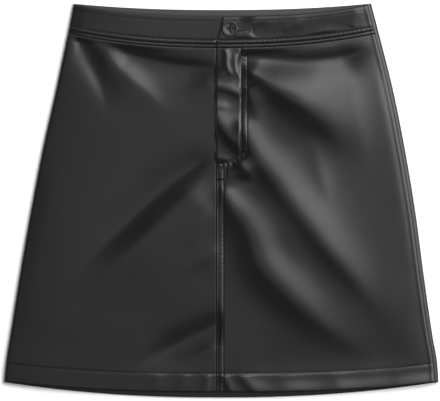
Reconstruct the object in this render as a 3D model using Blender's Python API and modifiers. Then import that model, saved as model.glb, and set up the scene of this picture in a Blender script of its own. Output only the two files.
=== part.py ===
"""Leather mini skirt laid flat on its back: fronts, back, waistband, fly shield and button.

Sizes are in millimetres. X runs across the skirt, Y up to the waist, Z up from the table.
"""

import math
from collections import namedtuple

import bmesh
import bpy
import numpy as np

for thing in list(bpy.data.objects):
    bpy.data.objects.remove(thing, do_unlink=True)

MM = 0.001

# Leather and seams
WALL = 1.2                  # one layer of leather
DOUBLE_WALL = 2.2           # hem, fly overlap and waistband, folded double
SHIELD_WALL = 1.2
SEAM_GAP = 0.3
ROLL = 2.8                  # radius of the soft fold at both sides
SEAM_TAB = 0.5              # height of the straight lip on each side of the left side seam
DOME = 2.0                  # rise of the front from its sides to its middle
DOME_POWER = 8.0            # the left side falls off softly
DOME_POWER_RIGHT = 14.0     # and the right side close to its edge
BAND_LIFT = 0.4             # the waistband stands this much proud of the fronts

# Lines across the skirt: height at its middle, rise at its ends, half width and curve power
Line = namedtuple("Line", "middle rise reach power")
FRONT_TOP = Line(210.5, 13.8, 170.0, 2.6)
BACK_TOP = Line(217.4, 7.3, 170.0, 2.3)
WAIST_SEAM = Line(174.5, 16.0, 175.0, 2.3)
FRONT_HEM = Line(-219.0, 12.0, 247.0, 2.6)
BACK_HEM = Line(-224.6, 17.4, 247.0, 2.2)
HEM_DEPTH = 22.0

# Side folds, from the top corners down to the hem corners
Side = namedtuple("Side", "height left right")
SIDES = (
    Side(226.0, -168.2, 170.6),
    Side(194.0, -174.5, 179.0),
    Side(126.0, -188.7, 196.0),
    Side(58.0, -203.8, 209.6),
    Side(-11.0, -217.0, 221.2),
    Side(-79.0, -228.9, 230.2),
    Side(-148.0, -239.9, 240.0),
    Side(-182.0, -245.4, 246.0),
    Side(-210.0, -248.2, 248.0),
)
SIDE_SEAM_INSET = 5.0       # the right side seam lies this far in on the front

# Centre front and fly
CENTRE_LINE = -6.0
OVERLAP_TOP = 1.0           # where the waistband overlap ends at its top
OVERLAP_CORNER = 3.0
FLY_WIDTH = 34.0
FLY_FOOT = 40.0             # height of the lower end of the fly
SHIELD_WIDTH = 46.0
SHIELD_INSET = 18.0         # how far the shield runs behind the left front
UNDERLAP_END = 36.0
SHIELD_DROP = 0.7           # clearance of the shield below the fly's overlap
PANEL_STEP = 0.3            # the left front sinks this much on its way to the fly
PANEL_RISE = 0.5            # and the overlap stands this much proud there
BAND_RISE = 1.3             # the waistband's overlap stands higher, over the button's underlap
OVERLAP_REACH = 90.0        # width over which the overlap sinks back
STEP_START = -150.0
STEP_END = -8.0

# Button and buttonhole
BUTTON_PLACE = (9.9, 195.7)
BUTTON_RADIUS = 9.0
BUTTON_STEPS = 32
HOLE_RADIUS = 0.9
HOLE_OFFSET = 2.3
HOLE_SIDES = 12
SLIT_LENGTH = 23.0
SLIT_WIDTH = 1.2

# Mesh density
PANEL_COLUMNS = 28
PANEL_ROWS = 46
BACK_COLUMNS = 6
BACK_ROWS = 26
BAND_COLUMNS = 24
BAND_ROWS = 4
WAIST_ROW = 1.5             # the panels' last row of points but one lies this far below the waist seam
TURN_COLUMNS = 4            # columns in each quarter turn of a side fold
FOLD_STEPS = 32
STEP_BLEND = 2.5            # the steps along a fold's path blend this softly into each other

# Folds of the fronts: path from its start, height, half widths to the left and right hand of the path,
# size at the tip, and the shares of the path where the fold has come up and starts to die out
Fold = namedtuple("Fold", "path height left right tip rise fade")
RIGHT_FOLDS = (
    # fanning out from the fly to the side and the hem
    Fold(((22, 154), (60, 129), (94, 110), (119, 90), (134, 67), (143, 38)),
         height=8.0, left=45, right=25, tip=0.36, rise=0.1, fade=0.34),
    Fold(((24, 152), (56, 132), (84, 114), (110, 96)),
         height=1.8, left=19, right=12, tip=0.3, rise=0.1, fade=0.4),
    Fold(((17, 100), (39, 54), (66, 18), (88, -12), (117, -50), (149, -87), (176, -121), (200, -153)),
         height=6.8, left=33, right=19, tip=0.55, rise=0.07, fade=0.36),
    Fold(((0, 20), (6, 3), (14, -10), (27, -25), (36, -41), (45, -69), (64, -94), (89, -119),
          (118, -143), (152, -165), (190, -183)),
         height=6.8, left=33, right=22, tip=0.36, rise=0.05, fade=0.52),
    # towards the side seam and along it
    Fold(((138, 160), (147, 112), (157, 62), (165, 12)),
         height=1.4, left=21, right=45, tip=0.6, rise=0.2, fade=0.4),
    Fold(((174, 162), (183, 126), (196, 58), (208, -11), (218, -79), (228, -148)),
         height=0.6, left=9, right=14, tip=0.7, rise=0.12, fade=0.5),
)
LEFT_FOLDS = (
    Fold(((-169, 196), (-158, 177), (-149, 161), (-139, 141), (-132, 119), (-126, 92)),
         height=-4.0, left=34, right=13, tip=0.6, rise=0.05, fade=0.5),
    Fold(((-158, 202), (-138, 172), (-114, 146), (-91, 127), (-71, 109), (-49, 91)),
         height=3.2, left=15, right=22, tip=0.55, rise=0.02, fade=0.3),
    # the long drag line from the foot of the fly: a hollow and the low ridge below it
    Fold(((-4, 57), (-26, 43), (-51, 25), (-77, 3), (-104, -22), (-131, -47), (-156, -72), (-184, -102)),
         height=-3.6, left=14, right=24, tip=0.6, rise=0.14, fade=0.42),
    Fold(((-10, 30), (-30, 11), (-55, -13), (-83, -42), (-110, -67), (-136, -92), (-165, -122)),
         height=3.2, left=60, right=19, tip=0.5, rise=0.18, fade=0.5),
    Fold(((10, -136), (-10, -145), (-34, -157), (-58, -169), (-82, -181), (-110, -196)),
         height=-3.2, left=17, right=15, tip=0.8, rise=0.06, fade=0.55),
    Fold(((-172, 60), (-178, 0), (-182, -60), (-182, -170)),
         height=0.6, left=80, right=40, tip=0.9, rise=0.3, fade=0.9),
)
# hollows below the waistband and above the hem
HOLLOWS = (
    Fold(((-130, 174), (-108, 166), (-78, 158), (-46, 152), (-12, 149), (8, 151)),
         height=-3.6, left=10, right=28, tip=0.7, rise=0.2, fade=0.65),
    Fold(((13, 165), (34, 162), (62, 160), (95, 158), (136, 162), (174, 173)),
         height=-4.2, left=10, right=18, tip=0.7, rise=0.08, fade=0.8),
    Fold(((20, -194), (80, -193), (140, -189), (190, -182), (230, -175)),
         height=-2.2, left=44, right=24, tip=0.8, rise=0.2, fade=0.7),
)
LEFT_REACH = 10.0           # how far the left front's folds carry on to the right of the centre seam
SIDE_CALM = 17.0            # folds fade out this near to the sides
WAIST_CALM = 8.0            # this near to the waistband
HEM_CALM = 40.0             # and by half towards the hem
END_TAPER = 0.45            # how much narrower a fold is where it ends
FOLD_POWER = 1.5            # below 2, a fold's crest is sharper than its foot
CREST = 0.1                 # rounding of the crest as a share of the fold's half width

BLACK_LEATHER = (0.028, 0.028, 0.031, 1.0)
BLACK_BUTTON = (0.016, 0.016, 0.017, 1.0)


def ease(share):
    """Smooth rise from 0 to 1 as share goes from 0 to 1."""
    share = np.clip(share, 0.0, 1.0)
    return share * share * (3.0 - 2.0 * share)


def line_height(line, x):
    return line.middle + line.rise * np.abs(x / line.reach) ** line.power


def smooth_path(points, count):
    """Points along a smooth curve through the given points."""
    points = np.array(points, float)
    padded = np.vstack([2 * points[0] - points[1], points, 2 * points[-1] - points[-2]])
    place = np.linspace(0.0, len(points) - 1.0, count)
    span = np.minimum(place.astype(int), len(points) - 2)
    t = (place - span)[:, None]
    before, start, end, after = (padded[span + k] for k in range(4))
    return 0.5 * (2 * start + (end - before) * t
                  + (2 * before - 5 * start + 4 * end - after) * t ** 2
                  + (3 * start - before - 3 * end + after) * t ** 3)


SIDE_CURVE = smooth_path(SIDES, 120)[::-1]


def side_x(y, side):
    """Where a side fold lies at height y: side is -1 on the left and 1 on the right."""
    column = 1 if side < 0 else 2
    return np.interp(y, SIDE_CURVE[:, 0], SIDE_CURVE[:, column])


def fold_height(fold, x, y):
    """Height of one fold over the points x, y."""
    path = smooth_path(fold.path, FOLD_STEPS + 1)
    strides = np.diff(path, axis=0)
    lengths = np.hypot(strides[:, 0], strides[:, 1])
    dx = x[..., None] - path[:-1, 0]
    dy = y[..., None] - path[:-1, 1]
    share = np.clip((dx * strides[:, 0] + dy * strides[:, 1]) / lengths ** 2, 0.0, 1.0)
    distance = np.hypot(dx - share * strides[:, 0], dy - share * strides[:, 1])
    nearest = distance.min(axis=-1)
    pull = np.exp((nearest[..., None] - distance) / STEP_BLEND)
    along = (pull * (np.arange(FOLD_STEPS) + share)).sum(axis=-1) / pull.sum(axis=-1) / FOLD_STEPS
    cross = strides[:, 0] * dy - strides[:, 1] * dx
    hand = np.take_along_axis(cross, distance.argmin(axis=-1)[..., None], axis=-1)[..., 0]
    ahead = (dx[..., 0] * strides[0, 0] + dy[..., 0] * strides[0, 1]) / lengths[0]

    width = np.where(hand > 0, fold.left, fold.right)
    dying = ease((along - fold.fade) / (1.0 - fold.fade))
    grown = fold.tip + (1.0 - fold.tip) * ease(along / 0.4)
    width = width * grown * (1.0 - END_TAPER * dying)
    profile = np.exp(-(np.hypot(nearest / width, CREST) - CREST) ** FOLD_POWER)
    risen = ease(ahead / (fold.rise * lengths.sum()))
    return fold.height * grown * risen * (1.0 - dying) * profile


def front_height(x, y):
    """Height of the outside of the fronts over the table."""
    left, right = side_x(y, -1), side_x(y, 1)
    half = (right - left) / 2
    off_middle = np.abs(x - (left + right) / 2)
    inside = half - off_middle
    power = np.where(x > (left + right) / 2, DOME_POWER_RIGHT, DOME_POWER)
    dome = DOME * (1.0 - np.clip(off_middle / half, 0.0, 1.0) ** power)
    beside = 1.0 - ease((x - CENTRE_LINE) / LEFT_REACH)
    folds = sum(fold_height(fold, x, y) for fold in RIGHT_FOLDS + HOLLOWS)
    folds = folds + beside * sum(fold_height(fold, x, y) for fold in LEFT_FOLDS)
    below_waist = line_height(WAIST_SEAM, x) - y
    above_hem = y - line_height(FRONT_HEM, x)
    calm = ease(inside / SIDE_CALM) * ease(below_waist / WAIST_CALM)
    calm = calm * (0.5 + 0.5 * ease(above_hem / HEM_CALM))
    return 2 * ROLL + dome + folds * calm


def band_height(x, y):
    """Height of the outside of the waistband, proud of the fronts except at its sides."""
    inside = np.minimum(x - side_x(y, -1), side_x(y, 1) - x)
    return front_height(x, y) + BAND_LIFT * ease(inside / SIDE_CALM)


def overlap_rise(x, rise):
    """The overlap stands proud of what it covers and sinks back to the right."""
    return rise * (1.0 - ease((x - CENTRE_LINE) / OVERLAP_REACH))


def step_down(x):
    """Share of the step that the left pieces take down towards the overlap."""
    return ease((x - STEP_START) / (STEP_END - STEP_START))


def right_front_height(x, y):
    return front_height(x, y) + overlap_rise(x, PANEL_RISE)


def right_band_height(x, y):
    return band_height(x, y) + overlap_rise(x, BAND_RISE)


def left_band_height(x, y):
    """The left waistband steps down and runs on below the overlap, one wall and gap under it."""
    under = DOUBLE_WALL + SEAM_GAP - overlap_rise(x, BAND_RISE)
    return band_height(x, y) - under * step_down(x)


def button_seat():
    """Height of the waistband below the button."""
    x, y = np.array([BUTTON_PLACE[0]]), np.array([BUTTON_PLACE[1]])
    return float(right_band_height(x, y)[0])


def quarter_turn():
    """Insets and rises from the left side seam to the end of its fold: a straight lip, then an arc."""
    angles = np.radians(np.linspace(0.0, 90.0, TURN_COLUMNS))
    insets = np.append(0.0, ROLL * (1.0 - np.cos(angles)))
    rises = np.append(SEAM_GAP / 2, ROLL * np.sin(angles))
    rises[1] = SEAM_TAB
    return insets, rises


def half_turn():
    """Insets and heights round the right fold, from the underside to the top."""
    angles = np.radians(np.linspace(-90.0, 90.0, 2 * TURN_COLUMNS + 1))
    return ROLL * (1.0 - np.cos(angles)), ROLL * (1.0 + np.sin(angles))


def blend_turn(turned, top):
    """Height of a turning column that meets the front's own height at the end of its turn."""
    return turned + (top - 2 * ROLL) * ease(turned / ROLL - 1.0)


def sheet(name, columns, rows, place, wall, grow, material, thin=None):
    """A leather sheet: place gives each grid point, thin the share of the wall that it has there."""
    grid = bmesh.new()
    bmesh.ops.create_grid(grid, x_segments=columns, y_segments=rows, size=0.5)
    shares = np.array([vertex.co for vertex in grid.verts])
    column = np.rint((shares[:, 0] + 0.5) * columns).astype(int)
    row = np.rint((shares[:, 1] + 0.5) * rows).astype(int)
    x, y, z = place(column, row)
    for vertex, point in zip(grid.verts, np.column_stack([x, y, z]) * MM):
        vertex.co = point
    mesh = bpy.data.meshes.new(name)
    grid.to_mesh(mesh)
    grid.free()
    thing = add_object(name, mesh, material)
    solid = thing.modifiers.new("wall", "SOLIDIFY")
    solid.thickness = wall * MM
    solid.offset = grow
    solid.use_even_offset = True
    solid.use_quality_normals = True
    if thin is not None:
        group = thing.vertex_groups.new(name="double layer")
        for index, weight in enumerate(thin(x, y)):
            group.add([index], float(weight), "REPLACE")
        solid.vertex_group = group.name
        solid.thickness_vertex_group = WALL / DOUBLE_WALL
    return thing


def band_rows(lower, upper):
    """Heights of the grid rows of a waistband piece."""
    def heights(x, row):
        low, high = line_height(lower, x), line_height(upper, x)
        return low + (high - low) * row / BAND_ROWS
    return heights


def panel_rows(hem_line, rows):
    """Heights of the grid rows of a panel: three in its hem, and one close below its waist seam."""
    def heights(x, row):
        low, high = line_height(hem_line, x), line_height(WAIST_SEAM, x)
        in_hem = np.interp(row, (0, 1, 2, 3), (0.0, HEM_DEPTH * 0.5, HEM_DEPTH - 1.0, HEM_DEPTH + 2.0))
        share = np.clip((row - 3) / (rows - 4), 0.0, 1.0)
        start, end = low + HEM_DEPTH + 2.0, high - WAIST_ROW
        above = np.where(row == rows, high - SEAM_GAP, start + (end - start) * share)
        return np.where(row <= 3, low + in_hem, above)
    return heights


def settle(across, heights, row):
    """X and Y of grid points whose row depends on X and whose column depends on Y."""
    x = np.zeros(row.shape)
    for _ in range(4):
        y = heights(x, row)
        x = across(y)
    return x, y


def hem_weight(line):
    def weight(x, y):
        return (y < line_height(line, x) + HEM_DEPTH).astype(float)
    return weight


def left_columns(column, columns, end):
    """X and height of the columns of a left piece, from its side fold to end."""
    insets, rises = quarter_turn()
    share = np.clip((column - TURN_COLUMNS) / (columns - TURN_COLUMNS), 0.0, 1.0)
    turning = column < TURN_COLUMNS
    step = np.minimum(column, TURN_COLUMNS)

    def across(y):
        edge = side_x(y, -1)
        start = edge + ROLL
        return np.where(turning, edge + insets[step], start + (end - start) * share)

    def height(top):
        return np.where(turning, blend_turn(ROLL + rises[step], top), top)
    return across, height


def right_columns(column, columns, start):
    """X of the columns of a right piece, from start(y) to the side seam."""
    def across(y):
        end = side_x(y, 1) - SIDE_SEAM_INSET - SEAM_GAP / 2
        return start(y) + (end - start(y)) * column / columns
    return across


def around_back(column, flat_columns):
    """X and height of the columns of a back piece, under the skirt and round its right side."""
    left_in, left_rise = quarter_turn()
    right_in, right_height = half_turn()
    last_flat = TURN_COLUMNS + flat_columns
    last_turn = last_flat + 2 * TURN_COLUMNS
    on_left = column <= TURN_COLUMNS
    on_flat = (column > TURN_COLUMNS) & (column < last_flat)
    on_right = (column >= last_flat) & (column <= last_turn)
    left_step = np.minimum(column, TURN_COLUMNS)
    right_step = np.clip(column - last_flat, 0, 2 * TURN_COLUMNS)
    flat_share = (column - TURN_COLUMNS) / flat_columns

    def across(y):
        left, right = side_x(y, -1), side_x(y, 1)
        flat_start, flat_end = left + ROLL, right - ROLL
        return np.select(
            [on_left, on_flat, on_right],
            [left + left_in[left_step],
             flat_start + (flat_end - flat_start) * flat_share,
             right - right_in[right_step]],
            right - SIDE_SEAM_INSET + SEAM_GAP / 2)

    def height(top):
        return np.select(
            [on_left, on_flat, on_right],
            [ROLL - left_rise[left_step], 0.0, blend_turn(right_height[right_step], top)], top)
    return across, height


def make_front_left(material):
    heights = panel_rows(FRONT_HEM, PANEL_ROWS)

    def place(column, row):
        across, height = left_columns(column, PANEL_COLUMNS, CENTRE_LINE - SEAM_GAP)
        x, y = settle(across, heights, row)
        return x, y, height(front_height(x, y) - PANEL_STEP * step_down(x))
    return sheet("front_left", PANEL_COLUMNS, PANEL_ROWS, place, DOUBLE_WALL, -1, material,
                 hem_weight(FRONT_HEM))


def make_front_right(material):
    heights = panel_rows(FRONT_HEM, PANEL_ROWS)

    def place(column, row):
        across = right_columns(column, PANEL_COLUMNS, lambda y: CENTRE_LINE + 0 * y)
        x, y = settle(across, heights, row)
        return x, y, right_front_height(x, y)

    def thick(x, y):
        fly = (x < FLY_WIDTH - 6.0) & (y > FLY_FOOT)
        return np.maximum(hem_weight(FRONT_HEM)(x, y), fly)
    return sheet("front_right", PANEL_COLUMNS, PANEL_ROWS, place, DOUBLE_WALL, -1, material, thick)


def make_back(material):
    heights = panel_rows(BACK_HEM, BACK_ROWS)
    columns = BACK_COLUMNS + 3 * TURN_COLUMNS + 1

    def place(column, row):
        across, height = around_back(column, BACK_COLUMNS)
        x, y = settle(across, heights, row)
        return x, y, height(front_height(x, y))
    return sheet("back_panel", columns, BACK_ROWS, place, DOUBLE_WALL, 1, material,
                 hem_weight(BACK_HEM))


def make_shield(material):
    columns, rows = 8, 24
    lowest = FLY_FOOT + 4.0

    def place(column, row):
        x = CENTRE_LINE - SHIELD_INSET + SHIELD_WIDTH * column / columns
        highest = line_height(WAIST_SEAM, x) - 1.5
        y = lowest + (highest - lowest) * row / rows
        under_overlap = right_front_height(x, y) - DOUBLE_WALL - SHIELD_DROP
        return x, y, np.maximum(under_overlap, WALL + SEAM_GAP + SHIELD_WALL)
    return sheet("fly_shield", columns, rows, place, SHIELD_WALL, -1, material)


def make_band_left(material):
    heights = band_rows(WAIST_SEAM, FRONT_TOP)

    def place(column, row):
        across, height = left_columns(column, BAND_COLUMNS, UNDERLAP_END)
        x, y = settle(across, heights, row)
        return x, y, height(left_band_height(x, y))
    return sheet("waistband_front_left", BAND_COLUMNS, BAND_ROWS, place, DOUBLE_WALL, -1, material)


def overlap_end(y):
    """Where the waistband overlap ends at height y, leaning out to its rounded top corner."""
    seam, top = line_height(WAIST_SEAM, CENTRE_LINE), line_height(FRONT_TOP, CENTRE_LINE)
    lean = CENTRE_LINE + (OVERLAP_TOP - CENTRE_LINE) * ease((y - seam) / (top - seam))
    corner = np.clip((y - top + OVERLAP_CORNER) / OVERLAP_CORNER, 0.0, 1.0)
    return lean + OVERLAP_CORNER * (1.0 - np.sqrt(1.0 - corner ** 2)) * 0.6


def make_band_right(material):
    heights = band_rows(WAIST_SEAM, FRONT_TOP)

    def place(column, row):
        across = right_columns(column, BAND_COLUMNS, overlap_end)
        x, y = settle(across, heights, row)
        return x, y, right_band_height(x, y)
    band = sheet("waistband_front_right", BAND_COLUMNS, BAND_ROWS, place, DOUBLE_WALL, -1, material)
    cut_buttonhole(band)
    return band


def make_band_back(material):
    heights = band_rows(WAIST_SEAM, BACK_TOP)
    columns = BACK_COLUMNS + 3 * TURN_COLUMNS + 1

    def place(column, row):
        across, height = around_back(column, BACK_COLUMNS)
        x, y = settle(across, heights, row)
        return x, y, height(band_height(x, y))
    return sheet("waistband_back", columns, BAND_ROWS, place, DOUBLE_WALL, 1, material)


def cut(target, cutter):
    cutter.hide_render = True
    cutter.display_type = "WIRE"
    difference = target.modifiers.new("cut " + cutter.name, "BOOLEAN")
    difference.operation = "DIFFERENCE"
    difference.solver = "EXACT"
    difference.object = cutter


def cut_buttonhole(band):
    """A slit through the overlap, from the button out to the right."""
    box = bmesh.new()
    bmesh.ops.create_cube(box, size=1.0)
    bmesh.ops.scale(box, verts=box.verts, vec=(SLIT_LENGTH * MM, SLIT_WIDTH * MM, 4 * DOUBLE_WALL * MM))
    mesh = bpy.data.meshes.new("buttonhole_cutter")
    box.to_mesh(mesh)
    box.free()
    cutter = bpy.data.objects.new("buttonhole_cutter", mesh)
    CUTTERS.objects.link(cutter)
    x, y = BUTTON_PLACE
    cutter.location = ((x + SLIT_LENGTH / 2 - 1.0) * MM, y * MM, button_seat() * MM)
    cut(band, cutter)


def make_button(material):
    """A turned button with a raised rim and four sewing holes."""
    outline = (
        (0.0, 0.0), (6.2, 0.0), (8.1, 0.5), (BUTTON_RADIUS, 1.5), (8.8, 2.5),
        (8.1, 3.0), (7.3, 2.8), (6.4, 2.0), (0.0, 1.8),
    )
    mesh = bpy.data.meshes.new("button")
    mesh.from_pydata([(radius * MM, 0.0, height * MM) for radius, height in outline],
                     [(k, k + 1) for k in range(len(outline) - 1)], [])
    button = add_object("button", mesh, material)
    x, y = BUTTON_PLACE
    button.location = (x * MM, y * MM, (button_seat() + SEAM_GAP) * MM)
    turned = button.modifiers.new("turned", "SCREW")
    turned.steps = BUTTON_STEPS
    turned.render_steps = BUTTON_STEPS
    turned.use_merge_vertices = True
    turned.merge_threshold = 0.00001
    turned.use_normal_calculate = True

    holes = bmesh.new()
    for quarter in range(4):
        angle = quarter * math.pi / 2
        made = bmesh.ops.create_cone(holes, cap_ends=True, segments=HOLE_SIDES, depth=10 * MM,
                                     radius1=HOLE_RADIUS * MM, radius2=HOLE_RADIUS * MM)
        offset = (HOLE_OFFSET * math.cos(angle) * MM, HOLE_OFFSET * math.sin(angle) * MM, 0.0)
        bmesh.ops.translate(holes, verts=made["verts"], vec=offset)
    cutter_mesh = bpy.data.meshes.new("button_hole_cutter")
    holes.to_mesh(cutter_mesh)
    holes.free()
    cutter = bpy.data.objects.new("button_hole_cutter", cutter_mesh)
    cutter.location = button.location
    CUTTERS.objects.link(cutter)
    cut(button, cutter)
    return button


def add_object(name, mesh, material):
    thing = bpy.data.objects.new(name, mesh)
    mesh.materials.append(material)
    SKIRT.objects.link(thing)
    return thing


def finish(name, colour, roughness):
    material = bpy.data.materials.new(name)
    material.use_nodes = True
    shader = material.node_tree.nodes["Principled BSDF"]
    shader.inputs["Base Color"].default_value = colour
    shader.inputs["Roughness"].default_value = roughness
    shader.inputs["Metallic"].default_value = 0.0
    return material


def new_collection(name):
    collection = bpy.data.collections.new(name)
    bpy.context.scene.collection.children.link(collection)
    return collection


SKIRT = new_collection("leather_mini_skirt")
CUTTERS = new_collection("cutters")
for make in (make_front_left, make_front_right, make_back, make_shield,
             make_band_left, make_band_right, make_band_back):
    make(finish("black leather " + make.__name__[5:], BLACK_LEATHER, 0.38))
make_button(finish("black button", BLACK_BUTTON, 0.3))
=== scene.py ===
"""Looks of a black leather mini skirt that lies flat on its back.

Sizes are in millimetres, except in the room, the lights and the materials, where they are in metres.
X runs across the skirt, Y up to the waist and Z up from the table, as in the frame.
"""

import math
from collections import namedtuple

import bmesh
import bpy
import numpy as np
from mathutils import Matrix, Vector


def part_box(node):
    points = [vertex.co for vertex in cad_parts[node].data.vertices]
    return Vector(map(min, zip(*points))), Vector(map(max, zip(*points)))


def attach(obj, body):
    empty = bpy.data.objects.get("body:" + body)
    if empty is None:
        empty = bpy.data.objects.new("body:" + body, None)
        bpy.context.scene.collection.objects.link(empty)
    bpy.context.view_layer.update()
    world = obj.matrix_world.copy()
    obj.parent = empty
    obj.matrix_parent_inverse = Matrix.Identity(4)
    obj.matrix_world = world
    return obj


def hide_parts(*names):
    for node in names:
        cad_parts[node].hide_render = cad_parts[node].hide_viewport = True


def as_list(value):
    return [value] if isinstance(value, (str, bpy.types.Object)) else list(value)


MM = 0.001

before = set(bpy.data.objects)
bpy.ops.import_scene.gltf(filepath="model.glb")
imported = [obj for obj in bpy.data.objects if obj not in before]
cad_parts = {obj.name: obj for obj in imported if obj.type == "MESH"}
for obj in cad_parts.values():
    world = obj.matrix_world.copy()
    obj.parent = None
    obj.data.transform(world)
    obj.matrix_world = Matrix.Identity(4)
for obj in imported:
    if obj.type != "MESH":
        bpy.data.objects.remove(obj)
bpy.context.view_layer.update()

# -------- sizes shared with the solids

WALL = 1.2  # single leather
DOUBLE_WALL = 2.2  # hems, fly overlap and waistband
SEAM_GAP = 0.3
ROLL = 2.8  # radius of the turns at the sides
DOME = 2.0  # how much higher the front's middle lies
DOME_POWER = 8.0  # the left side falls off softly
DOME_POWER_RIGHT = 14.0  # and the right side close to its edge
BAND_LIFT = 0.4  # how much higher the waistband lies

# a seam or an edge: Y at the middle, and how much more at its reach
Line = namedtuple("Line", "middle rise reach power")
FRONT_TOP = Line(210.5, 13.8, 170.0, 2.6)
BACK_TOP = Line(217.4, 7.3, 170.0, 2.3)
WAIST_SEAM = Line(174.5, 16.0, 175.0, 2.3)
FRONT_HEM = Line(-219.0, 12.0, 247.0, 2.6)
BACK_HEM = Line(-224.6, 17.4, 247.0, 2.2)
HEM_DEPTH = 22.0

# X of the sides at a height
Side = namedtuple("Side", "height left right")
SIDES = (
    Side(226.0, -168.2, 170.6),
    Side(194.0, -174.5, 179.0),
    Side(126.0, -188.7, 196.0),
    Side(58.0, -203.8, 209.6),
    Side(-11.0, -217.0, 221.2),
    Side(-79.0, -228.9, 230.2),
    Side(-148.0, -239.9, 240.0),
    Side(-182.0, -245.4, 246.0),
    Side(-210.0, -248.2, 248.0),
)
SIDE_STEPS = 3000  # points along each side
SIDE_SEAM_INSET = 5.0  # the right side seam lies this far in on the front

CENTRE_LINE = -6.0  # centre front seam and free edge of the fly
OVERLAP_TOP = 1.0  # where the waistband's overlap ends at its top edge
OVERLAP_CORNER = 3.0
CORNER_SHARE = 0.6  # how much of that corner is rounded off
FLY_WIDTH = 34.0
FLY_FOOT = 40.0
UNDERLAP_END = 36.0
PANEL_STEP = 0.3  # how far the left front sinks at the overlap
PANEL_RISE = 0.5  # how far the right front's free edge stands up
BAND_RISE = 1.3  # and the waistband's
OVERLAP_REACH = 90.0  # width over which they sink back
STEP_START = -150.0  # the left pieces sink from here
STEP_END = -8.0  # to here

BUTTON_PLACE = (9.9, 195.7)
BUTTON_RADIUS = 9.0
HOLE_RADIUS = 0.9
HOLE_OFFSET = 2.3
# radius and height along the button's outline
BUTTON_PROFILE = (
    (0.0, 0.0), (6.2, 0.0), (7.6, 0.2), (8.5, 0.7), (BUTTON_RADIUS, 1.5), (8.95, 2.1),
    (8.7, 2.6), (8.2, 2.95), (7.7, 3.0), (7.2, 2.8), (6.8, 2.4), (6.4, 2.05), (5.8, 1.9), (0.0, 1.8),
)
BUTTON_STEPS = 64
HOLE_STEPS = 20
HOLE_DEPTH = 10.0
CROSS_SHARE = 0.75  # half width of the thread cross, as a share of the holes' offset
CROSS_HEIGHT = 1.9
CROSS_RADIUS = 0.4

# -------- folds and creases

# path from its start, height, half widths to the left and right hand of the path, size at the tip,
# and the shares of the path where the fold has come up and where it starts to die out
Fold = namedtuple("Fold", "path height left right tip rise fade")
RIGHT_FOLDS = (
    # fanning out from the fly to the side and the hem
    Fold(((22, 154), (60, 129), (94, 110), (119, 90), (134, 67), (143, 38)), 8.0, 45, 25, 0.36, 0.1, 0.34),
    Fold(((24, 152), (56, 132), (84, 114), (110, 96)), 1.8, 19, 12, 0.3, 0.1, 0.4),
    Fold(((17, 100), (39, 54), (66, 18), (88, -12), (117, -50), (149, -87), (176, -121), (200, -153)),
         6.8, 33, 19, 0.55, 0.07, 0.36),
    Fold(((0, 20), (6, 3), (14, -10), (27, -25), (36, -41), (45, -69), (64, -94), (89, -119),
          (118, -143), (152, -165), (190, -183)),
         6.8, 33, 22, 0.36, 0.05, 0.52),
    # towards the side seam and along it
    Fold(((138, 160), (147, 112), (157, 62), (165, 12)), 1.4, 21, 45, 0.6, 0.2, 0.4),
    Fold(((174, 162), (183, 126), (196, 58), (208, -11), (218, -79), (228, -148)),
         0.6, 9, 14, 0.7, 0.12, 0.5),
)
LEFT_FOLDS = (
    Fold(((-169, 196), (-158, 177), (-149, 161), (-139, 141), (-132, 119), (-126, 92)),
         -4.0, 34, 13, 0.6, 0.05, 0.5),
    Fold(((-158, 202), (-138, 172), (-114, 146), (-91, 127), (-71, 109), (-49, 91)),
         3.2, 15, 22, 0.55, 0.02, 0.3),
    # the drag line from the foot of the fly: a hollow and the low ridge below it
    Fold(((-4, 57), (-26, 43), (-51, 25), (-77, 3), (-104, -22), (-131, -47), (-156, -72), (-184, -102)),
         -3.6, 14, 24, 0.6, 0.14, 0.42),
    Fold(((-10, 30), (-30, 11), (-55, -13), (-83, -42), (-110, -67), (-136, -92), (-165, -122)),
         3.2, 60, 19, 0.5, 0.18, 0.5),
    Fold(((10, -136), (-10, -145), (-34, -157), (-58, -169), (-82, -181), (-110, -196)),
         -3.2, 17, 15, 0.8, 0.06, 0.55),
    Fold(((-172, 60), (-178, 0), (-182, -60), (-182, -170)), 0.6, 80, 40, 0.9, 0.3, 0.9),
)
# hollows below the waistband and above the hem
HOLLOWS = (
    Fold(((-130, 174), (-108, 166), (-78, 158), (-46, 152), (-12, 149), (8, 151)),
         -3.6, 10, 28, 0.7, 0.2, 0.65),
    Fold(((13, 165), (34, 162), (62, 160), (95, 158), (136, 162), (174, 173)),
         -4.2, 10, 18, 0.7, 0.08, 0.8),
    Fold(((20, -194), (80, -193), (140, -189), (190, -182), (230, -175)), -2.2, 44, 24, 0.8, 0.2, 0.7),
)
SMALL_FOLDS = (
    # right front
    Fold(((18, 47), (23, 40), (29, 32), (38, 20)), 3.2, 9, 8, 0.8, 0.2, 0.5),
    Fold(((5, 31), (18, 30), (34, 26)), 0.7, 6, 9, 0.8, 0.1, 0.4),
    Fold(((28, 130), (35, 117), (40, 103), (46, 86)), 2.5, 13, 9, 0.7, 0.12, 0.4),
    Fold(((66, -14), (82, -46), (94, -82)), 0.6, 14, 12, 0.5, 0.4, 0.5),
    Fold(((100, 78), (108, 48), (116, 20), (124, -8)), 0.9, 13, 13, 0.6, 0.3, 0.5),
    # left front
    Fold(((2, 131), (-22, 130), (-60, 118)), 0.9, 7, 14, 0.7, 0.3, 0.35),
    Fold(((4, -167), (-18, -172), (-44, -186)), 0.9, 6, 6, 0.7, 0.35, 0.4),
    Fold(((-4, 12), (-26, -24), (-54, -62)), 0.9, 14, 12, 0.5, 0.3, 0.4),
    Fold(((2, -48), (-22, -66), (-52, -84)), 0.9, 12, 10, 0.6, 0.3, 0.4),
)
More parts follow.
